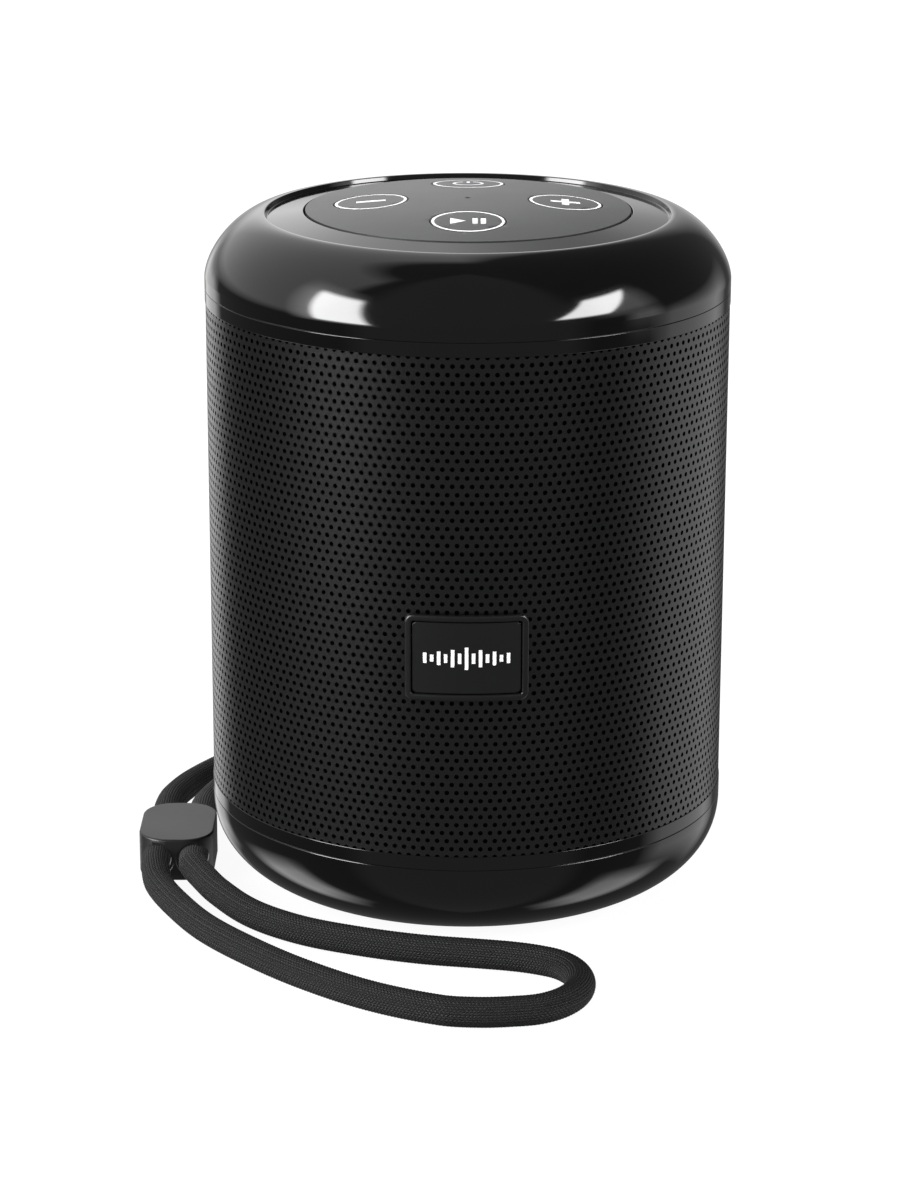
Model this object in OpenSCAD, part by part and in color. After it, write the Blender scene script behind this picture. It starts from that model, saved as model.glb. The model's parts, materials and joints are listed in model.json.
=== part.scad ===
// Portable shower speaker with a looped wrist lanyard.
// Millimetres, +Z up, front (badge side) towards -Y.
// Origin: centre of the foot pad, on the table.

/* [Body] */
// Diameter of the speaker
body_d = 82; // [68:0.5:99]
// Height to the rim of the top shell
body_h = 108.2; // [90:0.2:130]
// Height of the base up to the grille, seam ring included
base_h = 16.8; // [15.8:0.2:20.4]
// Height of the crown over the grille, seam ring included
crown_h = 13.6; // [12.6:0.2:16.4]
// Wall thickness of the two shells
shell_wall = 2.2; // [1.8:0.1:2.7]
// Height of the seam ring at each end of the grille
seam_h = 2.2; // [1.6:0.1:2.6]
// Thickness of the grille sheet
grille_t = 0.8; // [0.6:0.1:1]

/* [Controls] */
// How far the control disc rises to its middle
dome_rise = 1.7; // [1.2:0.1:2.2]
// Gap all round a key in its hole
key_gap = 0.15; // [0.1:0.01:0.25]
// How far a key goes down
key_travel = 0.3; // [0.2:0.05:0.4]

/* [Driver] */
// How far the cone moves each way
cone_travel = 1.5; // [0.8:0.1:2]

/* [Badge] */
// Width of the badge
badge_w = 18.6; // [14:0.2:23]
// Height of the badge
badge_h = 13.4; // [10:0.2:16.2]

/* [Port cover] */
// Width of the port cover
cover_w = 14; // [12:0.5:16]

/* [Lanyard] */
// Diameter of the braided cord
cord_d = 4.6; // [3.8:0.1:5.6]
// Clearance of the cord in the toggle and anchor, across
cord_gap = 0.2; // [0.1:0.05:0.3]

/* [Hidden] */

$fn = 96;
tiny = 0.01;
r = body_d / 2;

// base shell
foot_lift = 0.8;
foot_h = 2;
round_a = 0.38 * r;
round_b = 0.79 * (base_h - 0.4);
round_r = r - round_a;
round_z = foot_lift + round_b;
floor_z = 4;
foot_r = round_r - 1;
post_r = 0.51 * r;
board_z = base_h - 5.4;
board_t = 1.6;
board_r = 0.78 * r;
frame_z = base_h - 1.8;
frame_r = r - shell_wall - 0.8;
frame_t = 2;
skirt_z = base_h - 3.6;
skirt_t = 1.8;
seal_low = max(round_z, skirt_z - 0.1) + 0.02;

// crown
grille_top = body_h - crown_h;
crown_z = grille_top + seam_h;
shoulder_z = crown_z + 1.6;
shoulder_a = 0.224 * r;
rim_r = r - shoulder_a;
disc_r = rim_r - 0.16 * r;
disc_z = body_h + 0.4;
ledge_z = body_h - 1.8;
ledge_r = 0.89 * disc_r;
dome_r = (disc_r * disc_r + dome_rise * dome_rise) / (2 * dome_rise);
dome_z = disc_z + dome_rise - dome_r;
top_plate_z = grille_top - 2.6;
switch_board_z = body_h - 8;
switch_board_t = 1.2;
switch_board_r = 0.91 * disc_r;

// keys
key_r = 0.226 * disc_r;
key_ring = 0.597 * disc_r;
key_flange = 0.85;
flange_t = 0.6;
flange_z = ledge_z - flange_t - 0.1;
stem_z = flange_z - 0.4;
web_t = 0.6;
web_z = stem_z - key_travel - 0.1 - web_t;
mark_depth = 0.25;
mark_line = 0.42;
mark_inset = 0.15;

// enclosure
enc_x = 0.73 * r;
enc_y = sqrt(pow(r - 2.6, 2) - enc_x * enc_x);
enc_bottom = frame_z + frame_t;
enc_top = top_plate_z;
enc_h = enc_top - enc_bottom;
enc_wall = 2.4;
seam_gap = 1;
mid_z = (enc_bottom + enc_top) / 2;

// driver and radiator, drawn at driver_r and brought to size together
driver_r = 24.6;
driver_scale = 0.6 * r / driver_r;
cone_r = 15.8;
coil_r = 7.9;
magnet_r = 14.5;
surround_r = 20.4;
radiator_r = 12.4;
baffle_t = 0.8;
top_plate_low = -16;
coil_low = top_plate_low - cone_travel - 0.9;
magnet_low = coil_low - cone_travel - 2.1;
yoke_t = 2.4;
lead_y = 10.4 * driver_scale - enc_y;

// battery
battery_r = 0.22 * r;
battery_x = enc_wall + battery_r + 0.3 - enc_x;
battery_y = 0.235 * r;

// port
port_turn = -35;
port_h = 5.2;
pocket_gap = 0.3;
socket_w = 9;
socket_h = 3.2;
port_z = board_z - socket_h / 2;
cover_t = 1.6;
pocket_low = port_z - port_h / 2 - pocket_gap;
pocket_high = port_z + port_h / 2 + pocket_gap;
barrel_r = 0.8;
cover_axis_y = sqrt(r * r - cover_w * cover_w / 4) - 1;
pocket_y = 0.88 * r;

// badge
badge_z = base_h + 0.411 * (grille_top - base_h);
frame_proud = 0.9;
plate_proud = 0.6;
bar_depth = 0.15;
bar_pitch = 0.056 * badge_w;
bar_heights = [0.26, 0.12, 0.2, 0.1, 0.16, 0.08, 0.12];

// lanyard
reach = r / 41;
anchor_lift = 7;
toggle_lift = 1.2;
toggle_l = 17.4 * reach;
toggle_w = 12.1 * reach;
toggle_h = cord_d + 2 * toggle_lift;
toggle_x = -47 * reach;
strand_x = 3 * reach;

// x, y and lift over the table of the cord's middle, from anchor to anchor
lay = [
  [3, 33.5, 7], [3, 38, 7], [3, 43, 7], [2, 48.2, 6.9], [-1, 52.5, 6.6],
  [-5.3, 55.5, 6.3], [-10.5, 56.5, 5.9], [-22, 52.6, 4.4], [-33, 45.2, 2.6],
  [-41.3, 37.2, 1.2], [-46.8, 28.8, 0.9], [-49.4, 21, 1.1], [-50, 16, 1.2],
  [-50, 14.5, 1.2], [-50, -9.5, 1.2], [-49.8, -12.5, 1.1], [-48.8, -17.5, 0.6],
  [-45.6, -24.6, 0.2], [-40.4, -33.8, 0], [-33.2, -42.9, 0], [-24.4, -51.9, 0],
  [-14.2, -59.9, 0], [-3.7, -65.1, 0], [2, -65.9, 0], [7, -65.5, 0],
  [10.9, -64.6, 0], [14.2, -62.3, 0], [16.4, -59, 0], [17.2, -55.1, 0],
  [16.4, -51.2, 0], [14.2, -48.1, 0], [10.9, -46.2, 0], [7, -44.9, 0],
  [2, -43.9, 0], [-7, -42.2, 0], [-16.2, -39.2, 0], [-25.6, -34.7, 0],
  [-33.4, -28.3, 0.1], [-39.2, -20, 0.4], [-42.4, -14, 0.9], [-43.8, -11, 1.2],
  [-44, -9.5, 1.2], [-44, 14.5, 1.2], [-43.5, 18.6, 1.1], [-40.8, 26.6, 1.1],
  [-36.2, 34, 1.5], [-29.6, 41, 2.5], [-21.5, 46.4, 4], [-12.4, 49.4, 5.7],
  [-8.8, 48.7, 6.2], [-5.8, 46.7, 6.6], [-3.6, 44, 6.9], [-3, 41.6, 7],
  [-3, 37, 7], [-3, 33.5, 7]
];
cord_sides = 12;
route = [for (p = lay) [p[0] * reach, p[1] * reach, p[2] + cord_d / 2]];

// shared shapes

function quarter(cx, cz, a, b, from, to, steps, power) = [
  for (i = [0:steps])
    let (t = from + (to - from) * i / steps)
    [cx + a * pow(abs(cos(t)), power), cz + sign(sin(t)) * b * pow(abs(sin(t)), power)]
];

module lathe(points) {
  rotate_extrude() polygon(points);
}

module tube(outer, inner, z, h) {
  translate([0, 0, z]) difference() {
    cylinder(r = outer, h = h);
    translate([0, 0, -1]) cylinder(r = inner, h = h + 2);
  }
}

module post(x, y, z, radius, h) {
  translate([x, y, z]) cylinder(r = radius, h = h, $fn = 32);
}

module block(size, at) {
  translate([at[0] - size[0] / 2, at[1] - size[1] / 2, at[2]]) cube(size);
}

// a plate with rounded corners, standing on XZ, thickness along Y
module upright_plate(w, h, corner, y0, y1, z) {
  translate([0, y1, z]) rotate([90, 0, 0]) linear_extrude(y1 - y0) rounded(w, h, corner);
}

module rounded(w, h, corner) {
  square([w - 2 * corner, h], center = true);
  square([w, h - 2 * corner], center = true);
  for (x = [-1, 1], y = [-1, 1])
    translate([x * (w / 2 - corner), y * (h / 2 - corner)]) circle(r = corner, $fn = 32);
}

// local z runs outwards from the front face of the enclosure
module facing_front() {
  translate([0, -enc_y, mid_z]) rotate([90, 0, 0]) scale(driver_scale) children();
}

// local z runs outwards from the back face of the enclosure
module facing_back() {
  translate([0, enc_y, mid_z]) rotate([-90, 0, 0]) scale(driver_scale) children();
}

module screw(head_r, head_h, shank_r, length) {
  cylinder(r = head_r, h = head_h, $fn = 32);
  translate([0, 0, head_h]) cylinder(r = shank_r, h = length, $fn = 32);
}

// the outside of the base, grown outwards by grow
module base_form(grow) {
  lathe(concat(
    [[0, foot_lift - grow], [round_r, foot_lift - grow]],
    quarter(round_r, round_z, round_a + grow, round_b + grow, -84, 0, 14, 0.94),
    [[r + grow, base_h - seam_h], [0, base_h - seam_h]]
  ));
}

module base_hollow() {
  a = round_a - shell_wall;
  b = round_z - floor_z;
  lathe(concat(
    [[0, floor_z]],
    quarter(round_r, round_z, a, b, -90, 0, 10, 1),
    [[r - shell_wall, base_h], [0, base_h]]
  ));
}

// base

module foot_pad() {
  color("#1c1c1e") tube(foot_r, 0.55 * foot_r, 0, foot_h);
}

module base_post(side_x, side_y, z, radius, h) {
  post(side_x * post_r / sqrt(2), side_y * post_r / sqrt(2), z, radius, h);
}

module base_shell() {
  color("#131315") difference() {
    union() {
      difference() {
        base_form(0);
        base_hollow();
      }
      for (x = [-1, 1], y = [-1, 1]) base_post(x, y, floor_z - 1, 3, board_z - floor_z + 1);
      intersection() {
        base_form(-0.5);
        port_box(cover_w + 5, pocket_y - 2, 5, skirt_z - 0.1);
      }
    }
    tube(foot_r, 0.55 * foot_r, -tiny, foot_h + tiny);
    for (x = [-1, 1], y = [-1, 1]) {
      base_post(x, y, foot_h - 1, 2.4, 2.6);
      base_post(x, y, foot_h, 1.25, board_z);
    }
    port_box(cover_w + 2 * pocket_gap, pocket_y, pocket_low, pocket_high);
    port_box(2 * barrel_r + 2 * pocket_gap, pocket_y, pocket_low, pocket_high, -cover_w / 2);
    port_box(socket_w + 0.2, 0.6 * r, board_z - socket_h - 0.1, board_z + 0.1);
    anchor_prism(0.05);
  }
}

// a box through the wall at the port, from y outwards, between two heights
module port_box(w, y, low, high, x = 0) {
  rotate([0, 0, port_turn]) translate([x - w / 2, y, low]) cube([w, r, high - low]);
}

module base_screws() {
  color("#8d9096") for (x = [-1, 1], y = [-1, 1])
    translate([x * post_r / sqrt(2), y * post_r / sqrt(2), foot_h + 0.1])
      screw(2.2, 1.5, 1.05, frame_z + frame_t - foot_h - 2);
}

module port_cover() {
  barrel_h = port_h - 2.2;
  color("#1a1a1c") {
    difference() {
      intersection() {
        base_form(0);
        port_box(cover_w - barrel_r, 0.8 * r, port_z - port_h / 2, port_z + port_h / 2, barrel_r / 2);
      }
      base_form(-cover_t);
    }
    rotate([0, 0, port_turn]) translate([-cover_w / 2, cover_axis_y, port_z + port_h / 2 - barrel_h]) {
      cylinder(r = barrel_r, h = barrel_h, $fn = 32);
      translate([0, -0.5, 0]) cube([barrel_r + 0.4, 1, barrel_h]);
    }
  }
}

// lanyard

module anchor_prism(extra) {
  half = cord_d / 2 + 1.9 + extra;
  translate([0, 0.8 * r, cord_d / 2 + anchor_lift]) rotate([-90, 0, 0]) linear_extrude(r) {
    for (x = [-1, 1]) translate([x * strand_x, 0]) circle(r = half, $fn = 48);
    square([2 * strand_x, 2 * half], center = true);
  }
}

module lanyard_anchor() {
  color("#2a2b2e") difference() {
    intersection() {
      anchor_prism(0);
      base_form(0.9);
    }
    for (x = [-1, 1])
      translate([x * strand_x, lay[0][1] * reach, cord_d / 2 + anchor_lift])
        rotate([-90, 0, 0]) cylinder(d = cord_d + cord_gap, h = r, $fn = 48);
  }
}

function unit(v) = v / norm(v);
function heading(path, i) =
  unit(path[min(i + 1, len(path) - 1)] - path[max(i - 1, 0)]);
function ring_at(path, i, radius) =
  let (ahead = heading(path, i), side = unit(cross(ahead, [0, 0, 1])), up = cross(side, ahead))
  [for (s = [0:cord_sides - 1])
    let (a = 360 * s / cord_sides) path[i] + radius * (cos(a) * side + sin(a) * up)];

module swept(path, radius) {
  n = len(path);
  m = cord_sides;
  points = [for (i = [0:n - 1]) each ring_at(path, i, radius)];
  sides = [for (i = [0:n - 2]) for (s = [0:m - 1])
    [i * m + s, i * m + (s + 1) % m, (i + 1) * m + (s + 1) % m, (i + 1) * m + s]];
  first = [for (s = [m - 1:-1:0]) s];
  last = [for (s = [0:m - 1]) (n - 1) * m + s];
  polyhedron(points = points, faces = concat([first], sides, [last]));
}

module lanyard_cord() {
  color("#0f0f11") swept(route, cord_d / 2);
}

module lanyard_toggle() {
  color("#3b3c3f") difference() {
    intersection() {
      translate([toggle_x, 0, 0]) linear_extrude(toggle_h) rounded(toggle_w, toggle_l, 0.33 * toggle_w);
      translate([toggle_x, 0, toggle_h / 2]) rotate([90, 0, 0]) translate([0, 0, -toggle_l])
        linear_extrude(2 * toggle_l) rounded(toggle_w, toggle_h, 1.1);
    }
    for (x = [-1, 1])
      translate([toggle_x + x * strand_x, -toggle_l, toggle_h / 2])
        rotate([-90, 0, 0]) cylinder(d = cord_d + cord_gap, h = 2 * toggle_l, $fn = 48);
  }
}

// boards in the base

module main_board() {
  color("#1f5a34") difference() {
    translate([0, 0, board_z]) cylinder(r = board_r, h = board_t);
    for (x = [-1, 1], y = [-1, 1]) base_post(x, y, board_z - 1, 1.3, 4);
  }
}

module board_parts() {
  color("#26262a") {
    block([9, 9, 1.2], [0, -3, board_z + board_t]);
    block([7, 5, 1], [-11, 3, board_z + board_t]);
    block([5, 5, 1], [9, 6, board_z + board_t]);
    for (x = [-4:2:4]) block([1, 0.6, 0.6], [x, 12, board_z + board_t]);
    block([12, 10, 3.4], [-2, -14, board_z - 3.4]);
    post(8, -6, board_z - 5, 2.5, 5);
    post(14.5, -4, board_z - 5, 2.5, 5);
  }
}

module port_socket() {
  color("#b9bcc2") rotate([0, 0, port_turn]) translate([0, pocket_y - 7.4, board_z - socket_h / 2])
    rotate([-90, 0, 0]) difference() {
      linear_extrude(7.4) rounded(socket_w, socket_h, 1.1);
      translate([0, 0, 1]) linear_extrude(7) difference() {
        rounded(socket_w - 0.7, socket_h - 0.7, 0.9);
        square([6.6, 0.8], center = true);
      }
    }
}

// frames and seams

module base_seal() {
  color("#5a2b2b") difference() {
    tube(r - shell_wall, frame_r, seal_low, base_h - seam_h - seal_low);
    anchor_prism(0.05);
  }
}

module base_frame() {
  color("#2d2e31") difference() {
    union() {
      translate([0, 0, frame_z]) cylinder(r = frame_r, h = frame_t);
      tube(frame_r, frame_r - skirt_t, skirt_z, frame_z - skirt_z + tiny);
      for (x = [-1, 1], y = [-1, 1])
        base_post(x, y, board_z + board_t, 3, frame_z - board_z - board_t + tiny);
    }
    for (x = [-1, 1], y = [-1, 1]) base_post(x, y, board_z, 1.05, base_h);
    chassis_holes(1.1, frame_z - 1, 4);
    lead_holes(0.7, frame_z - 1, 4);
    ribbon_slot(frame_z - 1, 4);
    anchor_prism(0.2);
  }
}

module lower_seam_ring() {
  color("#17171a") tube(r, frame_r, base_h - seam_h, seam_h);
}

module upper_seam_ring() {
  color("#17171a") tube(r, frame_r, grille_top, seam_h);
}

module grille() {
  color("#2b2c2f") tube(r - 0.1, r - 0.1 - grille_t, base_h, grille_top - base_h);
}

module acoustic_cloth() {
  color("#0b0b0c") tube(r - 0.15 - grille_t, r - 0.55 - grille_t, base_h, grille_top - base_h);
}

// enclosure

module chassis_holes(radius, z, h) {
  for (x = [-1, 1], y = [-1, 1]) post(x * 0.66 * enc_x, y * 0.55 * enc_y, z, radius, h);
}

module lead_holes(radius, z, h) {
  for (x = [-1, 1]) post(2.5 * x, lead_y, z, radius, h);
}

module ribbon_slot(z, h) {
  block([1, 11, h], [-enc_x - 2.8, 0, z]);
}

module shell_half() {
  difference() {
    block([2 * enc_x, enc_y - seam_gap / 2, enc_h], [0, (enc_y + seam_gap / 2) / 2, 0]);
    translate([-enc_x + enc_wall, 0, enc_wall])
      cube([2 * (enc_x - enc_wall), enc_y - enc_wall, enc_h - 2 * enc_wall]);
  }
  for (x = [-1, 1], z = [0, 1])
    translate([x * 0.66 * enc_x, 0.55 * enc_y, z * (enc_h - 5.5)]) cylinder(r = 3, h = 5.5, $fn = 32);
}

module enclosure_front() {
  color("#3a3b40") difference() {
    translate([0, 0, enc_bottom]) mirror([0, 1, 0]) shell_half();
    facing_front() {
      translate([0, 0, -5]) cylinder(r = surround_r + 0.8, h = 10);
      rim_holes(0.8);
    }
    chassis_holes(0.8, enc_bottom - 1, enc_h + 2);
    lead_holes(0.7, enc_bottom - 1, 4);
  }
}

module enclosure_rear() {
  color("#3a3b40") difference() {
    translate([0, 0, enc_bottom]) shell_half();
    facing_back() translate([0, 0, -5]) cylinder(r = 19.8, h = 10);
    chassis_holes(0.8, enc_bottom - 1, enc_h + 2);
  }
}

module enclosure_gasket() {
  color("#5a2b2b") difference() {
    block([2 * enc_x, seam_gap, enc_h], [0, 0, enc_bottom]);
    block([2 * (enc_x - enc_wall), 2 * seam_gap, enc_h - 2 * enc_wall], [0, 0, enc_bottom + enc_wall]);
  }
}

module chassis_screws() {
  color("#8d9096") for (x = [-1, 1], y = [-1, 1]) translate([x * 0.66 * enc_x, y * 0.55 * enc_y, 0]) {
    translate([0, 0, frame_z - 1.3]) screw(1.9, 1.3, 0.8, 7);
    translate([0, 0, top_plate_z + frame_t + 1.3]) mirror([0, 0, 1]) screw(1.9, 1.3, 0.8, 7);
  }
}

// driver

module rim_places() {
  for (a = [45:90:315]) rotate([0, 0, a]) translate([0.93 * driver_r, 0, 0]) children();
}

module rim_holes(radius) {
  rim_places() translate([0, 0, -6]) cylinder(r = radius, h = 12, $fn = 32);
}

module driver_frame() {
  color("#1b1b1d") facing_front() difference() {
    union() {
      lathe([
        [19.7, baffle_t], [19.7, -1.2], [15.7, -13], [coil_r + 1.2, -13], [coil_r + 1.2, -14.4],
        [17.2, -14.4], [20.9, -1.2], [20.9, baffle_t + 0.8], [surround_r, baffle_t + 0.8],
        [surround_r, baffle_t]
      ]);
      tube(driver_r, surround_r, baffle_t, 1.6);
      tube(17.9, 16.2, -9.4, 1.2);
      translate([-4, -0.95 * driver_r, -11.5]) cube([8, 6.6, 2.2]);
    }
    for (a = [0:60:300]) rotate([0, 0, a + 30]) translate([11, 0, -6]) rotate([0, 90, 0])
      cylinder(r = 2.2, h = 12, $fn = 24);
    rim_holes(1.05);
  }
}

module driver_gasket() {
  color("#5a2b2b") facing_front() difference() {
    tube(driver_r, surround_r + 0.8, 0, baffle_t);
    rim_holes(1.05);
  }
}

module driver_screws() {
  color("#8d9096") facing_front() rim_places()
    translate([0, 0, 3.4]) mirror([0, 0, 1]) screw(1.6, 1, 0.8, 4);
}

module driver_magnet() {
  color("#4a4c50") facing_front() tube(magnet_r, coil_r + 1.6, magnet_low, top_plate_low - magnet_low);
}

module driver_top_plate() {
  color("#7d8086") facing_front() tube(magnet_r - 0.6, coil_r + 0.5, top_plate_low, 1.6);
}

module driver_yoke() {
  color("#7d8086") facing_front() lathe([
    [0, magnet_low - yoke_t], [magnet_r, magnet_low - yoke_t], [magnet_r, magnet_low],
    [coil_r - 1.2, magnet_low], [coil_r - 1.2, top_plate_low + 1.6], [0, top_plate_low + 1.6]
  ]);
}

module voice_coil() {
  color("#b87333") facing_front() tube(coil_r, coil_r - 0.6, coil_low, -9 - coil_low);
}

module speaker_cone() {
  color("#2c2c30") facing_front() lathe([
    [coil_r, -10], [coil_r + 0.8, -10], [cone_r, -0.4], [cone_r + 0.8, 0], [cone_r + 0.8, baffle_t],
    [cone_r, baffle_t], [coil_r, -9]
  ]);
}

module dust_cap() {
  rise = 2.2;
  curve = (coil_r * coil_r + rise * rise) / (2 * rise);
  color("#3a3a3e") facing_front() translate([0, 0, -9]) rotate_extrude() difference() {
    intersection() {
      translate([0, rise - curve]) circle(r = curve);
      square([coil_r, rise]);
    }
    translate([0, rise - curve - 0.5]) circle(r = curve);
  }
}

// a half-round roll between two flat lips
module roll(inner, outer, z, thick) {
  half = (outer - inner) / 2 - 0.8;
  rotate_extrude() translate([0, z]) {
    translate([inner, 0]) square([0.8 + tiny, thick]);
    translate([outer - 0.8 - tiny, 0]) square([0.8 + tiny, thick]);
    intersection() {
      translate([(inner + outer) / 2, 0]) difference() {
        circle(r = half, $fn = 36);
        circle(r = half - thick, $fn = 36);
      }
      translate([inner, 0]) square([outer - inner, half + 1]);
    }
  }
}

module cone_surround() {
  color("#1e1e20") facing_front() roll(cone_r, surround_r, baffle_t, 0.5);
}

module cone_spider() {
  waves = [[coil_r, -11.9], [9.5, -11.2], [11.1, -11], [12.7, -10.4], [14.3, -10.2], [16.6, -9.8]];
  last = len(waves) - 1;
  color("#a8843c") facing_front()
    lathe(concat(waves, [for (i = [last:-1:0]) waves[i] + [0, 0.4]]));
}

module driver_leads() {
  z = board_z + board_t;
  color("#8c2f2f") for (x = [-1, 1])
    post(2.5 * x, lead_y, z, 0.6, mid_z - 0.95 * driver_r * driver_scale - z);
}

// rear radiator

module radiator_frame() {
  color("#1b1b1d") facing_back() lathe([
    [18.2, -3], [19.7, -3], [19.7, 0], [22.6, 0], [22.6, 1.4], [17.8, 1.4], [17.8, 0]
  ]);
}

module radiator_surround() {
  color("#1e1e20") facing_back() roll(radiator_r, 18.8, 1.4, 0.5);
}

module radiator_plate() {
  color("#6f7277") facing_back() translate([0, 0, 0.1]) cylinder(r = radiator_r + 0.8, h = 1.3);
}

// battery

module battery_cell() {
  color("#2f6db0") {
    post(battery_x, battery_y, enc_bottom + 6.2, battery_r, enc_h - 13.6);
    post(battery_x, battery_y, enc_top - 8, 0.35 * battery_r, 1.6);
  }
}

module battery_bracket() {
  back = enc_y - enc_wall;
  color("#55565a") for (z = [enc_bottom + 7, enc_top - 16.4]) difference() {
    translate([battery_x - battery_r, battery_y + 1, z]) cube([2 * battery_r, back - battery_y - 1, 8]);
    post(battery_x, battery_y, z - 1, battery_r, 10);
    facing_back() translate([0, 0, -3.3]) cylinder(r = 20, h = 4);
  }
}

// crown

module top_frame() {
  color("#2d2e31") difference() {
    union() {
      translate([0, 0, top_plate_z]) cylinder(r = frame_r, h = frame_t);
      tube(frame_r, frame_r - skirt_t, top_plate_z, crown_z + 1.8 - top_plate_z);
      for (a = [0:90:270]) rotate([0, 0, a])
        post(0.74 * switch_board_r, 0, top_plate_z + frame_t - tiny, 2.4,
          switch_board_z - top_plate_z - frame_t + tiny);
    }
    crown_holes(1.15, top_plate_z - 1, 6);
    chassis_holes(1.1, top_plate_z - 1, 4);
    ribbon_slot(top_plate_z - 1, 4);
  }
}

module crown_holes(radius, z, h) {
  for (a = [60, 120, 240, 300]) rotate([0, 0, a]) post(frame_r - 5, 0, z, radius, h);
}

module crown_seal() {
  color("#5a2b2b") tube(r - shell_wall, frame_r, crown_z, 1.4);
}

module top_shell() {
  shoulder_b = body_h - shoulder_z;
  wall = shell_wall;
  inner_b = ledge_z - 1.2 - shoulder_z;
  color("#131315") difference() {
    union() {
      lathe(concat(
        [[r - wall, crown_z], [r, crown_z], [r, shoulder_z]],
        quarter(rim_r, shoulder_z, shoulder_a, shoulder_b, 3, 90, 16, 1.24),
        [[rim_r - 0.2, body_h], [rim_r - 0.5, body_h - 0.7]],
        [[disc_r + 0.3, body_h + 0.25], [disc_r + 0.3, ledge_z]],
        [[ledge_r, ledge_z], [ledge_r, ledge_z - 1.2]],
        quarter(rim_r - 2, shoulder_z, shoulder_a + 2 - wall, inner_b, 90, 0, 10, 1)
      ));
      crown_bosses();
    }
    crown_holes(0.9, crown_z - 3, ledge_z - crown_z - 1);
  }
}

module crown_bosses() {
  intersection() {
    crown_holes(2.6, top_plate_z + frame_t, ledge_z - top_plate_z);
    lathe([[0, 0], [r - shell_wall / 2, 0], [r - shell_wall / 2, shoulder_z],
      [rim_r + 1, ledge_z], [0, ledge_z]]);
  }
}

module top_screws() {
  color("#8d9096") for (a = [60, 120, 240, 300]) rotate([0, 0, a])
    translate([frame_r - 5, 0, top_plate_z - 1.4]) screw(2, 1.4, 0.85, 8.4);
}

module ribbon_cable() {
  x = -enc_x - 3;
  low = board_z + board_t;
  high = switch_board_z - 0.3;
  color("#c98a2a") {
    translate([x, -5, low]) cube([0.4, 10, switch_board_z - low]);
    translate([x, -5, low]) cube([9, 10, 0.3]);
    translate([x, -5, high]) cube([12, 10, 0.3]);
  }
}

module control_board() {
  color("#1f5a34") translate([0, 0, switch_board_z]) cylinder(r = switch_board_r, h = switch_board_t);
}

module at_keys() {
  for (a = [0:90:270]) rotate([0, 0, a]) translate([key_ring, 0, 0]) children();
}

module tact_switches() {
  z = switch_board_z + switch_board_t;
  color("#c4c6ca") at_keys() {
    block([4.5, 4.5, 1.8], [0, 0, z]);
    post(0, 0, z + 1.8, 1.1, 0.5);
  }
}

module microphone() {
  color("#9da0a6") post(0, 0, switch_board_z + switch_board_t, 2, 1.1);
}

module mic_seal() {
  z = switch_board_z + switch_board_t + 1.1;
  color("#5a2b2b") tube(1.8, 0.5, z, ledge_z - z);
}

// a rim held down by the shell's ledge, and a web under the keys
module keypad_membrane() {
  z = switch_board_z + switch_board_t;
  top = ledge_z - 1.2;
  color("#6b6d72") difference() {
    translate([0, 0, z]) cylinder(r = switch_board_r, h = top - z);
    translate([0, 0, z - 1]) cylinder(r = ledge_r, h = web_z - z + 1);
    translate([0, 0, web_z + web_t]) cylinder(r = ledge_r, h = 4);
    post(0, 0, z, 2.2, 8);
  }
}

// the domed top of the disc, lowered by down, cut off below z
module dome(radius, down, z) {
  rotate_extrude() intersection() {
    translate([0, dome_z]) circle(r = dome_r - down, $fn = 720);
    translate([0, z]) square([radius, 2 * body_h]);
  }
}

module control_disc() {
  color("#3d3e42") difference() {
    dome(disc_r, 0, ledge_z);
    at_keys() post(0, 0, ledge_z - 1, key_r + key_gap, 9);
    post(0, 0, ledge_z - 1, 0.5, 9);
  }
}

// turn is the key's angle round the disc, from +X
module key_body(turn) {
  difference() {
    intersection() {
      dome(disc_r, 0, flange_z);
      rotate([0, 0, turn]) post(key_ring, 0, flange_z, key_r, 9);
    }
    key_cut(turn) children();
  }
  rotate([0, 0, turn]) {
    translate([key_ring, 0, flange_z]) cylinder(r = key_r + key_flange, h = flange_t, $fn = 48);
    post(key_ring, 0, stem_z, 1.5, flange_z - stem_z + tiny);
  }
}

// everything of a mark's outline from mark_depth under the dome up
module key_cut(turn) {
  difference() {
    mark_column(turn) children();
    dome(disc_r + 1, mark_depth, 0);
  }
}

module mark_column(turn) {
  rotate([0, 0, turn]) translate([key_ring, 0, ledge_z]) rotate([0, 0, -turn])
    linear_extrude(8) {
      difference() {
        circle(r = key_r - mark_inset, $fn = 72);
        circle(r = key_r - mark_inset - mark_line, $fn = 72);
      }
      children();
    }
}

module key_mark(turn) {
  intersection() {
    dome(disc_r, 0, 0);
    key_cut(turn) children();
  }
}

module minus_sign() {
  square([0.8 * key_r, 0.18 * key_r], center = true);
}

module plus_sign() {
  square([0.8 * key_r, 0.2 * key_r], center = true);
  square([0.2 * key_r, 0.8 * key_r], center = true);
}

module play_sign() {
  k = key_r / 5.5;
  polygon([[-2.6 * k, -1.5 * k], [-0.3 * k, 0], [-2.6 * k, 1.5 * k]]);
  for (x = [0.65, 1.85]) translate([x * k, -1.4 * k]) square([0.75 * k, 2.8 * k]);
}

module power_sign() {
  k = key_r / 5.5;
  difference() {
    circle(r = 2.4 * k, $fn = 48);
    circle(r = 1.95 * k, $fn = 48);
    translate([-0.8 * k, 0]) square([1.6 * k, 3 * k]);
  }
  translate([-0.25 * k, 0.5 * k]) square([0.5 * k, 2.2 * k]);
}

module volume_down_key() {
  color("#404145") key_body(180) minus_sign();
}

module volume_up_key() {
  color("#404145") key_body(0) plus_sign();
}

module play_key() {
  color("#404145") key_body(270) play_sign();
}

module power_key() {
  color("#404145") key_body(90) power_sign();
}

module volume_down_mark() {
  color("white") key_mark(180) minus_sign();
}

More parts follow.
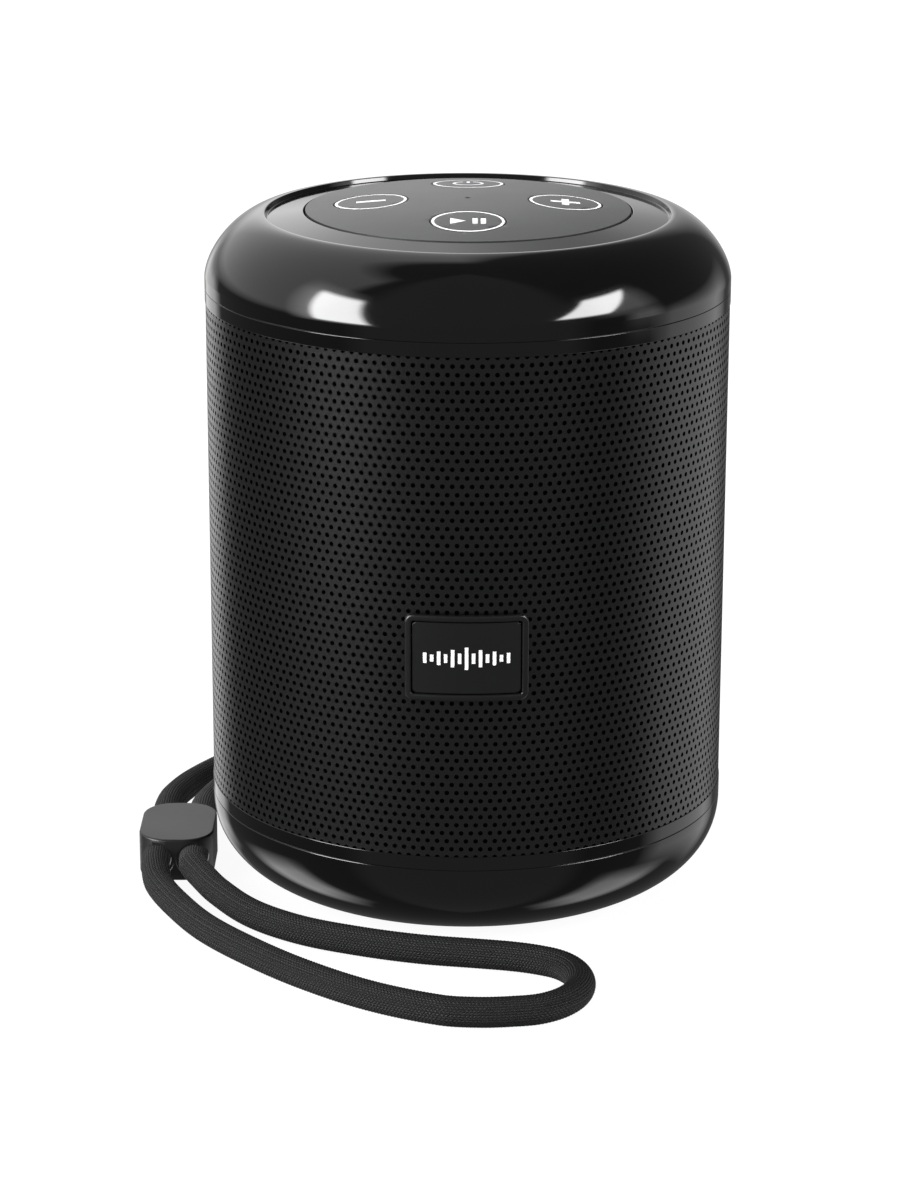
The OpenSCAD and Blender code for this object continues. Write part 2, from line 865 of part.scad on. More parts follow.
module volume_up_mark() {
  color("white") key_mark(0) plus_sign();
}

module play_mark() {
  color("white") key_mark(270) play_sign();
}

module power_mark() {
  color("white") key_mark(90) power_sign();
}

// badge

module badge_slab(w, h, corner, inner, outer) {
  intersection() {
    upright_plate(w, h, corner, -1.2 * r, -0.8 * r, badge_z);
    tube(outer, inner, badge_z - h, 2 * h);
  }
}

module badge_frame() {
  color("#1a1a1d") difference() {
    badge_slab(badge_w, badge_h, 1.3, r - 0.1, r + frame_proud);
    upright_plate(badge_w - 2, badge_h - 2, 0.8, -1.2 * r, -0.8 * r, badge_z);
  }
}

module badge_plate() {
  color("#232427") difference() {
    badge_slab(badge_w - 2.02, badge_h - 2.02, 0.8, r - 0.1, r + plate_proud);
    badge_bars();
  }
}

// a row of upright sound bars let into the plate
module badge_bars() {
  intersection() {
    tube(r + plate_proud, r + plate_proud - bar_depth, badge_z - badge_h, 2 * badge_h);
    translate([0, -0.8 * r, badge_z]) rotate([90, 0, 0]) linear_extrude(0.4 * r)
      for (i = [-6:6]) translate([i * bar_pitch, 0])
        square([0.5 * bar_pitch, badge_h * bar_heights[abs(i)]], center = true);
  }
}

module badge_mark() {
  color("#d9dadd") badge_bars();
}

// placing

foot_pad();
base_shell();
base_screws();
port_cover();
lanyard_anchor();
lanyard_cord();
lanyard_toggle();
main_board();
board_parts();
port_socket();
base_seal();
base_frame();
lower_seam_ring();
grille();
acoustic_cloth();
enclosure_front();
enclosure_rear();
enclosure_gasket();
chassis_screws();
driver_frame();
driver_gasket();
driver_screws();
driver_magnet();
driver_top_plate();
driver_yoke();
voice_coil();
speaker_cone();
dust_cap();
cone_surround();
cone_spider();
driver_leads();
radiator_frame();
radiator_surround();
radiator_plate();
battery_cell();
battery_bracket();
top_frame();
upper_seam_ring();
crown_seal();
top_shell();
top_screws();
ribbon_cable();
control_board();
tact_switches();
microphone();
mic_seal();
keypad_membrane();
control_disc();
volume_down_key();
volume_up_key();
play_key();
power_key();
volume_down_mark();
volume_up_mark();
play_mark();
power_mark();
badge_frame();
badge_plate();
badge_mark();
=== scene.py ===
# Looks of the portable shower speaker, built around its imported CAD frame.
import json
import math

import bmesh
import bpy
from mathutils import Matrix, Vector


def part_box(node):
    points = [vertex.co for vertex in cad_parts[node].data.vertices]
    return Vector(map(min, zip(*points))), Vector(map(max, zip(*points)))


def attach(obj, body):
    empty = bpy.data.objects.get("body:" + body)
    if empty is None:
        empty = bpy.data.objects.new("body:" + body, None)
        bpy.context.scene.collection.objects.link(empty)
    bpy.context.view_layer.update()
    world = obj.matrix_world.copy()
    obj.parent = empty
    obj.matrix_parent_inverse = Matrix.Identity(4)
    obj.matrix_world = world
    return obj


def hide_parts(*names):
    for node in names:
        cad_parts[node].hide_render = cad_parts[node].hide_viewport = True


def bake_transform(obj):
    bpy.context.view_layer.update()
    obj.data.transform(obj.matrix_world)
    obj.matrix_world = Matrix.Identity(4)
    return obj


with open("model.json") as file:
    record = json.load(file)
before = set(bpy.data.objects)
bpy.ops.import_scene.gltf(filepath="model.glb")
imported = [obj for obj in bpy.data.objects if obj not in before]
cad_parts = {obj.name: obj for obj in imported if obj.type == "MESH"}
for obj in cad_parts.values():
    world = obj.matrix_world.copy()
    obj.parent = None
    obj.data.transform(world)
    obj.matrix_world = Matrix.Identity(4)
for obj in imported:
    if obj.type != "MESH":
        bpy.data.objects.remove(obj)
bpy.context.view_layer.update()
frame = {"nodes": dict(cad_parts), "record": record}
nodes = frame["nodes"]
mm = 0.001
print("frame loaded:", len(nodes), "nodes")

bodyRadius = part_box("lower_seam_ring")[1].x
grilleLow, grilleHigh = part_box("grille")


cameraSetup = {
    "place": (0, -554.6, 217.9),  # mm
    "pitchDown": 17.3,
    "roll": 0.19,
    "focal": 108.9,
    "sensor": 36,
    "shiftX": -0.014,
    "clip": (0.01, 20),  # m
}


def makeCamera(setup):
    data = bpy.data.cameras.new("photoCamera")
    data.sensor_width = setup["sensor"]
    data.lens = setup["focal"]
    data.shift_x = setup["shiftX"]
    data.clip_start, data.clip_end = setup["clip"]
    camera = bpy.data.objects.new("photoCamera", data)
    turn = Matrix.Rotation(math.radians(90 - setup["pitchDown"]), 4, "X")
    tilt = Matrix.Rotation(math.radians(setup["roll"]), 4, "Z")
    camera.matrix_world = Matrix.Translation(Vector(setup["place"]) * mm) @ turn @ tilt
    bpy.context.scene.collection.objects.link(camera)
    bpy.context.scene.camera = camera


makeCamera(cameraSetup)


class Wire:
    # a shader socket that takes part in sums

    def __init__(self, graph, socket):
        self.graph = graph
        self.socket = socket

    def sum(self, operation, *terms, **settings):
        return self.graph.node("ShaderNodeMath", {"operation": operation, **settings}, *terms)

    def sine(self):
        return self.sum("SINE", self)

    def fraction(self):
        return self.sum("FRACT", self)

    def size(self):
        return self.sum("ABSOLUTE", self)

    def held(self):
        # kept from 0 to 1
        return self.sum("ADD", self, 0.0, use_clamp=True)

    def __add__(self, other):
        return self.sum("ADD", self, other)

    def __radd__(self, other):
        return self.sum("ADD", other, self)

    def __sub__(self, other):
        return self.sum("SUBTRACT", self, other)

    def __rsub__(self, other):
        return self.sum("SUBTRACT", other, self)

    def __mul__(self, other):
        return self.sum("MULTIPLY", self, other)

    def __rmul__(self, other):
        return self.sum("MULTIPLY", other, self)

    def __truediv__(self, other):
        return self.sum("DIVIDE", self, other)

    def __pow__(self, other):
        return self.sum("POWER", self, other)


class Finish:
    # one material, or the world: a shader and the nodes that feed it

    def __init__(self, name, owner=None, **constants):
        self.material = owner or bpy.data.materials.new(name)
        self.material.use_nodes = True
        self.tree = self.material.node_tree
        self.shader = self.tree.nodes["Background" if owner else "Principled BSDF"]
        for key, value in constants.items():
            self.set(key, value)

    def set(self, key, value):
        label = {
            "color": "Base Color", "roughness": "Roughness", "metallic": "Metallic", "ior": "IOR",
            "coat": "Coat Weight", "coatRoughness": "Coat Roughness", "sheen": "Sheen Weight",
            "normal": "Normal", "specular": "Specular IOR Level", "emission": "Emission Color",
            "glow": "Emission Strength", "strength": "Strength", "tint": "Color",
        }[key]
        socket = self.shader.inputs[label]
        if isinstance(value, Wire):
            self.tree.links.new(value.socket, socket)
        elif isinstance(value, (tuple, list)):
            socket.default_value = (*value, 1) if len(value) == 3 else value
        else:
            socket.default_value = value

    def node(self, kind, settings=None, *terms, out=0, **named):
        made = self.tree.nodes.new(kind)
        for key, value in (settings or {}).items():
            if key == "stops":
                self.setStops(made.color_ramp, value)
            else:
                setattr(made, key, value)
        for key, value in [*enumerate(terms), *named.items()]:
            socket = made.inputs[key.replace("_", " ") if isinstance(key, str) else key]
            if isinstance(value, Wire):
                self.tree.links.new(value.socket, socket)
            elif value is not None:
                socket.default_value = value
        return Wire(self, made.outputs[out])

    def setStops(self, ramp, stops):
        while len(ramp.elements) < len(stops):
            ramp.elements.new(0.5)
        for element, (place, shade) in zip(ramp.elements, stops):
            element.position = place
            element.color = (shade, shade, shade, 1)

    def place(self):
        return self.node("ShaderNodeTexCoord", out=3)

    def uv(self):
        return self.node("ShaderNodeTexCoord", out=2)

    def split(self, vector):
        made = self.node("ShaderNodeSeparateXYZ", None, vector)
        outs = made.socket.node.outputs
        return [Wire(self, socket) for socket in outs]

    def grain(self, size, detail=2.0, stretch=None):
        # noise with features of the given size in mm
        spot = self.place()
        if stretch:
            spot = self.node("ShaderNodeMapping", None, Vector=spot, Scale=stretch)
        return self.node("ShaderNodeTexNoise", None, Vector=spot, Scale=1 / (size * mm), Detail=detail)

    def ramp(self, factor, stops):
        return self.node("ShaderNodeValToRGB", {"stops": stops}, factor)

    def blend(self, factor, first, second):
        settings = {"data_type": "RGBA"}
        made = self.node("ShaderNodeMix", settings, out=2)
        sockets = made.socket.node.inputs
        for index, value in ((0, factor), (6, first), (7, second)):
            if isinstance(value, Wire):
                self.tree.links.new(value.socket, sockets[index])
            elif index == 0:
                sockets[0].default_value = value
            else:
                sockets[index].default_value = (*value, 1)
        return made

    def bump(self, height, depth, strength=1.0, under=None):
        # depth in mm
        return self.node("ShaderNodeBump", None, Strength=strength, Distance=depth * mm, Height=height,
                         Normal=under)


def glossBlack():
    made = Finish("glossBlack", ior=1.5)
    smudge = made.grain(14, detail=4)
    dust = made.grain(0.35, detail=1)
    made.set("color", made.blend(smudge, (0.0008, 0.0008, 0.001), (0.002, 0.002, 0.0022)))
    made.set("roughness", 0.04 + smudge * 0.05 + dust * 0.02)
    made.set("normal", made.bump(made.grain(9, detail=1), 0.008))
    return made.material


def moulded(name, shade, roughness=0.5, grainSize=0.16, grainDepth=0.01):
    # matt moulded plastic with a fine spark grain
    made = Finish(name, ior=1.46)
    cloud = made.grain(11, detail=3)
    grit = made.grain(grainSize, detail=2)
    dark = tuple(value * 0.86 for value in shade)
    light = tuple(value * 1.14 for value in shade)
    made.set("color", made.blend(cloud * 0.7 + grit * 0.3, dark, light))
    made.set("roughness", roughness - 0.06 + cloud * 0.06 + grit * 0.06)
    made.set("normal", made.bump(grit, grainDepth))
    return made.material


def whiteInk():
    made = Finish("whiteInk", ior=1.45)
    cloud = made.grain(3, detail=2)
    made.set("color", made.blend(cloud, (0.86, 0.87, 0.88), (0.95, 0.95, 0.95)))
    made.set("roughness", 0.42 + cloud * 0.1)
    made.set("normal", made.bump(made.grain(0.12), 0.004))
    return made.material


def grillePaint():
    made = Finish("grillePaint", ior=1.5)
    grit = made.grain(0.11, detail=2)
    cloud = made.grain(9, detail=3)
    made.set("color", made.blend(cloud * 0.6 + grit * 0.4, (0.0006, 0.0006, 0.0007), (0.0018, 0.0019, 0.002)))
    made.set("roughness", 0.24 + grit * 0.1)
    made.set("normal", made.bump(grit, 0.01))
    return made.material


def wovenCloth(name, shade, thread):
    # plain weave on the piece's own coordinates, thread in mm; the colour is darker in the low parts of the
    # weave as painted shade between the threads
    made = Finish(name, roughness=0.95, sheen=0.1)
    across, deep, up = made.split(made.place())[:3]
    step = 2 * math.pi / (thread * mm)
    weave = ((across + deep) * step).sine() * (up * step).sine()
    height = weave * 0.5 + 0.5
    # painted shade: darker where the weave is low, between the threads
    made.set("color", made.blend(height, tuple(v * 0.4 for v in shade), shade))
    made.set("normal", made.bump(height, 0.05))
    return made.material


def rubber(name, shade):
    made = Finish(name, ior=1.5)
    cloud = made.grain(6, detail=4)
    pits = made.grain(0.25, detail=2)
    made.set("color", made.blend(cloud, tuple(v * 0.8 for v in shade), tuple(v * 1.3 for v in shade)))
    made.set("roughness", 0.62 + pits * 0.25)
    made.set("normal", made.bump(pits, 0.02))
    return made.material


def metal(name, shade, roughness=0.3):
    made = Finish(name, metallic=1.0)
    lines = made.grain(0.4, detail=3)
    cloud = made.grain(5, detail=3)
    made.set("color", made.blend(cloud, tuple(v * 0.82 for v in shade), shade))
    made.set("roughness", roughness + lines * 0.18)
    made.set("normal", made.bump(lines, 0.006))
    return made.material


def windings():
    made = Finish("windings", metallic=1.0)
    turns = made.split(made.place())[1] * (2 * math.pi / (0.22 * mm))
    ridge = turns.sine() * 0.5 + 0.5
    # painted shade: the copper is darker in the grooves between the turns, from the same ridge as the bump
    made.set("color", made.blend(ridge, (0.25, 0.09, 0.03), (0.8, 0.38, 0.18)))
    made.set("roughness", 0.25 + ridge * 0.2)
    made.set("normal", made.bump(ridge, 0.04))
    return made.material


def pulp():
    made = Finish("conePulp", sheen=0.2)
    fibres = made.grain(0.5, detail=5, stretch=(1, 3, 1))
    made.set("color", made.blend(fibres, (0.012, 0.012, 0.014), (0.06, 0.06, 0.064)))
    made.set("roughness", 0.75 + fibres * 0.2)
    made.set("normal", made.bump(fibres, 0.05))
    return made.material


def boardMask():
    made = Finish("boardMask", ior=1.5, coat=0.4, coatRoughness=0.2)
    traces = made.node("ShaderNodeTexVoronoi", {"feature": "DISTANCE_TO_EDGE"}, Vector=made.place(),
                       Scale=260)
    line = made.ramp(traces, [(0.04, 1.0), (0.08, 0.0)])
    made.set("color", made.blend(line, (0.012, 0.1, 0.035), (0.03, 0.2, 0.07)))
    made.set("roughness", 0.3 + made.grain(2) * 0.15)
    made.set("normal", made.bump(line, 0.03))
    return made.material


def sleeveWrap():
    made = Finish("cellSleeve", ior=1.5, coat=0.3)
    wrinkle = made.grain(4, detail=4, stretch=(1, 1, 0.3))
    made.set("color", made.blend(wrinkle, (0.02, 0.09, 0.3), (0.05, 0.2, 0.55)))
    made.set("roughness", 0.25 + wrinkle * 0.2)
    made.set("normal", made.bump(wrinkle, 0.08))
    return made.material


def filmStrip():
    made = Finish("ribbonFilm", ior=1.6)
    lane = made.split(made.place())[1] * (2 * math.pi / (0.8 * mm))
    stripe = made.ramp(lane.sine() * 0.5 + 0.5, [(0.45, 0.0), (0.55, 1.0)])
    made.set("color", made.blend(stripe, (0.38, 0.15, 0.02), (0.62, 0.33, 0.08)))
    made.set("roughness", 0.3 + made.grain(1) * 0.15)
    made.set("normal", made.bump(stripe, 0.02))
    return made.material


def braidWithPaintedGlints(columns, stitch, lean):
    # slanted stitches in columns round the cord, on the cord's own UV map; the colour is painted highlight on
    # the stitch crests and painted shade in the gaps between stitches
    made = Finish("braid", ior=1.45, specular=0.3)
    along, around = made.split(made.uv())[:2]
    column = around * columns
    within = column.fraction()
    half = (column * 0.5).fraction()
    parity = half.sum("GREATER_THAN", half, 0.5)
    slant = (parity * 2 - 1) * (within - 0.5) * lean
    phase = along / stitch + slant + parity * 0.5
    height = (phase * math.pi).sine().size() * (within * math.pi).sine()
    fuzz = made.grain(0.12, detail=3)
    wear = made.grain(7, detail=3)
    thread = height**1.6 * (0.55 + 0.45 * fuzz)
    # painted glint and painted shade: near black in the gaps between stitches, lighter on the stitch crests
    made.set("color", made.blend(thread * (0.5 + wear), (0.0002, 0.0002, 0.0002), (0.013, 0.0135, 0.0145)))
    made.set("roughness", 0.66 - thread * 0.25)
    made.set("normal", made.bump(height + fuzz * 0.15, 0.12))
    return made.material


braidSize = {
    "diameter": 4.6,
    "columns": 34,
    "stitch": 0.55,
    "slant": 0.55,  # how far a stitch leans across its column, in stitches
    "relief": 0.11,
}

finishes = {
    "gloss_black": glossBlack(),
    "key_plastic": moulded("panelPlastic", (0.026, 0.027, 0.028), roughness=0.4),
    "white_ink": whiteInk(),
    "grille_metal": grillePaint(),
    "backing_cloth": wovenCloth("backingCloth", (0.004, 0.004, 0.005), 0.35),
    "rubber_black": rubber("footRubber", (0.012, 0.012, 0.013)),
    "seal_rubber": rubber("sealSilicone", (0.2, 0.04, 0.03)),
    "braid": braidWithPaintedGlints(braidSize["columns"], braidSize["stitch"] * mm, braidSize["slant"]),
    "toggle_plastic": moulded("togglePlastic", (0.005, 0.0051, 0.0053), roughness=0.42),
    "anchor_plastic": moulded("anchorPlastic", (0.008, 0.008, 0.009), roughness=0.4),
    "inner_plastic": moulded("innerPlastic", (0.04, 0.04, 0.044), roughness=0.5),
    "steel": metal("steel", (0.55, 0.56, 0.58)),
    "magnet": moulded("ferrite", (0.05, 0.05, 0.055), roughness=0.6, grainSize=0.5, grainDepth=0.04),
    "copper": windings(),
    "cone_paper": pulp(),
    "spider_cloth": wovenCloth("spiderCloth", (0.45, 0.3, 0.1), 0.6),
    "circuit_board": boardMask(),
    "chip": moulded("chipPackage", (0.015, 0.015, 0.016), roughness=0.45),
    "socket_metal": metal("socketPlating", (0.7, 0.71, 0.73), roughness=0.15),
    "cell_sleeve": sleeveWrap(),
    "ribbon_film": filmStrip(),
    "lead_wire": rubber("leadWire", (0.3, 0.02, 0.015)),
    "badge_plastic": moulded("badgePlastic", (0.0035, 0.0036, 0.0039), roughness=0.3),
    "badge_ink": moulded("badgeInk", (0.86, 0.86, 0.87), roughness=0.4, grainDepth=0.004),
}


def paintNodes():
    for part in frame["record"]["subparts"]:
        mesh = nodes[part["node"]].data
        mesh.materials.clear()
        mesh.materials.append(finishes[part["material_slot"]])


paintNodes()
print("finishes made:", len(finishes))


def addPiece(name, bm, finish, body="speaker", smooth=True):
    mesh = bpy.data.meshes.new(name)
    bm.to_mesh(mesh)
    bm.free()
    if smooth:
        mesh.shade_smooth()
    piece = bpy.data.objects.new(name, mesh)
    mesh.materials.append(finishes[finish])
    bpy.context.scene.collection.objects.link(piece)
    if body:
        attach(piece, body)
    return piece


def markSharp(bm, limit):
    # edges sharper than the limit in degrees stay crisp in smooth shading
    for edge in bm.edges:
        if edge.calc_face_angle(math.pi) > math.radians(limit):
            edge.smooth = False


def roundEdges(bm, width, limit=40, segments=3):
    bm.normal_update()
    sharp = [edge for edge in bm.edges if edge.calc_face_angle(0) > math.radians(limit)]
    bmesh.ops.bevel(bm, geom=sharp, offset=width * mm, offset_type="OFFSET", segments=segments, profile=0.5,
                    affect="EDGES", clamp_overlap=True, material=-1)


def turned(outline, steps=192):
    # an outline of (radius, height) in mm, spun round Z; it is closed unless both ends are on the axis
    bm = bmesh.new()
    points = [bm.verts.new((reach * mm, 0, height * mm)) for reach, height in outline]
    onAxis = outline[0][0] == 0 and outline[-1][0] == 0
    for start, end in zip(points, points[1:] + ([] if onAxis else points[:1])):
        bm.edges.new((start, end))
    bmesh.ops.spin(bm, geom=bm.verts[:] + bm.edges[:], cent=(0, 0, 0), axis=(0, 0, 1), angle=2 * math.pi,
                   steps=steps, use_merge=True)
    bmesh.ops.remove_doubles(bm, verts=bm.verts, dist=1e-7)
    bmesh.ops.recalc_face_normals(bm, faces=bm.faces)
    return bm


def curve(middle, reach, start, end, steps, power):
    # part of a squared-off ellipse, angles in degrees
    points = []
    for step in range(steps + 1):
        turn = math.radians(start + (end - start) * step / steps)
        across = abs(math.cos(turn)) ** power
        lift = math.copysign(abs(math.sin(turn)) ** power, math.sin(turn))
        points.append((middle[0] + reach[0] * across, middle[1] + reach[1] * lift))
    return points


def box(low, high, turn=0):
    # a block between two corners in mm, turned round Z
    bm = bmesh.new()
    middle = (Vector(low) + Vector(high)) / 2 * mm
    sizes = (Vector(high) - Vector(low)) * mm
    bmesh.ops.create_cube(bm, size=1, matrix=Matrix.Translation(middle) @ Matrix.Diagonal((*sizes, 1)))
    bmesh.ops.rotate(bm, verts=bm.verts, matrix=Matrix.Rotation(math.radians(turn), 3, "Z"))
    return bm


def rod(radius, start, end, segments=64):
    # a round bar between two points in mm
    bm = bmesh.new()
    start = Vector(start) * mm
    end = Vector(end) * mm
    pose = Matrix.Translation((start + end) / 2) @ (end - start).to_track_quat("Z", "Y").to_matrix().to_4x4()
    bmesh.ops.create_cone(bm, cap_ends=True, segments=segments, radius1=radius * mm, radius2=radius * mm,
                          depth=(end - start).length, matrix=pose)
    return bm


def reshape(piece, steps):
    # adds or takes away each shape in turn
    for operation, shape in steps:
        mesh = bpy.data.meshes.new("tool")
        shape.to_mesh(mesh)
        shape.free()
        tool = bpy.data.objects.new("tool", mesh)
        bpy.context.scene.collection.objects.link(tool)
        change = piece.modifiers.new("shape", "BOOLEAN")
        change.operation = operation
        change.object = tool
        change.solver = "EXACT"
        seen = piece.evaluated_get(bpy.context.evaluated_depsgraph_get())
        made = bpy.data.meshes.new_from_object(seen)
        piece.modifiers.clear()
        piece.data = made
        bpy.data.objects.remove(tool)


def tidyShading(piece):
    # flat faces stay flat next to their rounded edges
    step = piece.modifiers.new("shading", "WEIGHTED_NORMAL")
    step.mode = "FACE_AREA"
    step.weight = 100
    step.keep_sharp = True


def smoothCut(piece, limit):
    # merges the corners that the cuts left and shades the piece smooth
    bm = bmesh.new()
    bm.from_mesh(piece.data)
    bmesh.ops.remove_doubles(bm, verts=bm.verts, dist=1e-6)
    markSharp(bm, limit)
    bm.to_mesh(piece.data)
    bm.free()
    piece.data.shade_smooth()
    tidyShading(piece)


def roundedSheet(width, height, corner, segments):
    # a flat rectangle with round corners, in metres
    bm = bmesh.new()
    bmesh.ops.create_grid(bm, x_segments=1, y_segments=1, size=0.5)
    bmesh.ops.scale(bm, verts=bm.verts, vec=(width, height, 1))
    bmesh.ops.bevel(bm, geom=bm.verts[:], offset=corner, segments=segments, profile=0.5, affect="VERTICES",
                    material=-1)
    return bm


def thicken(bm, depth):
    pulled = bmesh.ops.extrude_face_region(bm, geom=bm.faces[:])["geom"]
    raised = [item for item in pulled if isinstance(item, bmesh.types.BMVert)]
    bmesh.ops.translate(bm, verts=raised, vec=(0, 0, depth))


def softCopy(node, name, body="speaker", rounding=None, limit=50):
    # the CAD piece with merged corners, rounded edges and smooth shading
    bm = bmesh.new()
    bm.from_mesh(nodes[node].data)
    bm.transform(nodes[node].matrix_world)
    bmesh.ops.remove_doubles(bm, verts=bm.verts, dist=2e-6)
    if rounding:
        roundEdges(bm, rounding, limit, 2)
    markSharp(bm, limit)
    finish = next(part["material_slot"] for part in frame["record"]["subparts"] if part["node"] == node)
    piece = addPiece(name, bm, finish, body)
    tidyShading(piece)
    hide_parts(node)
    return piece


# middle of the cord in mm: x, y and lift over the table
cordRoute = [
    (3, 33.5, 7), (3, 38, 7), (3, 43, 7), (2, 48.2, 6.9), (-1, 52.5, 6.6),
    (-5.3, 55.5, 6.3), (-10.5, 56.5, 5.9), (-22, 52.6, 4.4), (-33, 45.2, 2.6),
    (-41.3, 37.2, 1.2), (-46.8, 28.8, 0.9), (-49.4, 21, 1.1), (-50, 16, 1.2),
    (-50, 14.5, 1.2), (-50, -9.5, 1.2), (-49.8, -12.5, 1.1), (-48.8, -17.5, 0.6),
    (-45.6, -24.6, 0.2), (-40.4, -33.8, 0), (-33.2, -42.9, 0), (-24.4, -51.9, 0),
    (-14.2, -59.9, 0), (-3.7, -65.1, 0), (2, -65.9, 0), (7, -65.5, 0),
    (10.9, -64.6, 0), (14.2, -62.3, 0), (16.4, -59, 0), (17.2, -55.1, 0),
    (16.4, -51.2, 0), (14.2, -48.1, 0), (10.9, -46.2, 0), (7, -44.9, 0),
    (2, -43.9, 0), (-7, -42.2, 0), (-16.2, -39.2, 0), (-25.6, -34.7, 0),
    (-33.4, -28.3, 0.1), (-39.2, -20, 0.4), (-42.4, -14, 0.9), (-43.8, -11, 1.2),
    (-44, -9.5, 1.2), (-44, 14.5, 1.2), (-43.5, 18.6, 1.1), (-40.8, 26.6, 1.1),
    (-36.2, 34, 1.5), (-29.6, 41, 2.5), (-21.5, 46.4, 4), (-12.4, 49.4, 5.7),
    (-8.8, 48.7, 6.2), (-5.8, 46.7, 6.6), (-3.6, 44, 6.9), (-3, 41.6, 7),
    (-3, 37, 7), (-3, 33.5, 7),
]


def smoothPath(points, step):
    # a curve through the points, sampled evenly
    dense = []
    for index in range(len(points) - 1):
        before = points[max(index - 1, 0)]
        start = points[index]
        end = points[index + 1]
        after = points[min(index + 2, len(points) - 1)]
        span = (end - start).length
        leave = (end - before) / max((end - start).length + (start - before).length, 1e-9) * span
        arrive = (after - start) / max((after - end).length + (end - start).length, 1e-9) * span
        count = max(4, round(span / (step * 0.5)))
        for number in range(count):
            t = number / count
            a = 2 * t**3 - 3 * t**2 + 1
            b = t**3 - 2 * t**2 + t
            c = 3 * t**2 - 2 * t**3
            d = t**3 - t**2
            dense.append(a * start + b * leave + c * end + d * arrive)
    dense.append(points[-1])
    total = sum((b - a).length for a, b in zip(dense, dense[1:]))
    count = round(total / step)
    even = [dense[0]]
    walked = 0.0
    for a, b in zip(dense, dense[1:]):
        gap = (b - a).length
        while len(even) < count and walked + gap >= len(even) * total / count:
            even.append(a.lerp(b, (len(even) * total / count - walked) / gap))
        walked += gap
    even.append(dense[-1])
    return even, total


def braidHeight(along, around, size):
    column = around * size["columns"]
    within = column % 1
    side = 1 if column * 0.5 % 1 > 0.5 else 0
    lean = (side * 2 - 1) * (within - 0.5) * size["slant"]
    phase = along / (size["stitch"] * mm) + lean + side * 0.5
    return abs(math.sin(math.pi * phase)) * math.sin(math.pi * within)


def makeCord(size):
    radius = size["diameter"] / 2 * mm
    route = [Vector((x, y, lift + size["diameter"] / 2)) * mm for x, y, lift in cordRoute]
    path, length = smoothPath(route, size["stitch"] / 2 * mm)
    sides = size["columns"] * 2
    bm = bmesh.new()
    uvLayer = bm.loops.layers.uv.verify()
    bmesh.ops.create_grid(bm, x_segments=len(path) - 1, y_segments=sides, size=0.5, calc_uvs=True)
    for face in bm.faces:
        for loop in face.loops:
            u, v = loop[uvLayer].uv
            loop[uvLayer].uv = (u * length, v)
    frames = ringFrames(path)
    for vert in bm.verts:
        index = round((vert.co.x + 0.5) * (len(path) - 1))
        around = vert.co.y + 0.5
        sideways, upwards = frames[index]
        angle = 2 * math.pi * around
        relief = braidHeight(index / (len(path) - 1) * length, around, size) - 1
        reach = radius + relief * size["relief"] * mm
        vert.co = path[index] + reach * (math.cos(angle) * sideways + math.sin(angle) * upwards)
    bmesh.ops.remove_doubles(bm, verts=bm.verts, dist=1e-6)
    rims = [edge for edge in bm.edges if edge.is_boundary]
    bmesh.ops.holes_fill(bm, edges=rims, sides=0)
    bmesh.ops.recalc_face_normals(bm, faces=bm.faces)
    cord = addPiece("lanyardCord", bm, "braid")
    cord.visible_glossy = False  # keeps the loop out of the base's gloss
    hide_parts("lanyard_cord")
    path[::4] + [path[-1]]
    return length


def ringFrames(path):
    frames = []
    last = len(path) - 1
    for index in range(len(path)):
        ahead = (path[min(index + 1, last)] - path[max(index - 1, 0)]).normalized()
        sideways = ahead.cross(Vector((0, 0, 1))).normalized()
        frames.append((sideways, sideways.cross(ahead)))
    return frames


topShell = {
    "wall": 2.2,
    "bottom": 96.8,
    "shoulder": 98.4,  # where the side starts to bend in
    "bend": (9.184, 9.8),
    "power": 1.24,
    "rimTop": 108.2,
    "rimWidth": 0.3,
    "dish": 0.7,  # how far the ring inside the rim lies under it
    "discGap": 25.556,
    "discEdge": 108.45,
    "ledge": 106.4,
    "ledgeReach": 22.48,
    "ledgeThick": 1.2,
    "innerInset": 2,  # from the rim to where the inside starts to bend down
    "round": 0.12,
}


def makeTopShell(size):
    side = bodyRadius / mm
    across, lift = size["bend"]
    rim = side - across
    outline = [(side - size["wall"], size["bottom"]), (side, size["bottom"])]
    outline += curve((rim, size["shoulder"]), (across, lift), 2, 88, 44, size["power"])
    outline.append((rim - size["rimWidth"], size["rimTop"]))
    outline.append((rim - 2 * size["rimWidth"], size["rimTop"] - size["dish"]))
    outline += [(size["discGap"], size["discEdge"]), (size["discGap"], size["ledge"])]
    ceiling = size["ledge"] - size["ledgeThick"]
    outline += [(size["ledgeReach"], size["ledge"]), (size["ledgeReach"], ceiling)]
    inset = size["innerInset"]
    inside = (across + inset - size["wall"], ceiling - size["shoulder"])
    outline += curve((rim - inset, size["shoulder"]), inside, 90, 0, 16, 1)
    bm = turned(outline)
    roundEdges(bm, size["round"], limit=50)
    markSharp(bm, 50)
    piece = addPiece("topShellSkin", bm, "gloss_black")
    tidyShading(piece)
    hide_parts("top_shell")


baseShell = {
    "lift": 0.8,
    "top": 14.6,
    "flat": 25.42,  # reach of the flat underside
    "bendHeight": 13.756,
    "bend": (15.58, 12.956),
    "power": 0.94,
    "wall": 2.2,
    "floor": 4,
    "pad": (13.43, 24.42, 2),  # inner and outer radius and depth of the foot pad's seat
    "portTurn": -35,
    "pocket": ((-8.1, 36.08, 6.9), (7.3, 46, 12.7)),
    "pocketBack": [((-9.5, 34.08, 6), (9.5, 36.85, 13.1)), ((-9.5, 34.08, 9), (9.5, 38.6, 13.1))],
    "socket": ((-4.6, 24.6, 8.1), (4.6, 38, 11.5)),
    "anchor": {"half": 4.25, "spread": 3, "height": 9.3, "from": 32.8, "to": 46},
    "round": 0.16,
}


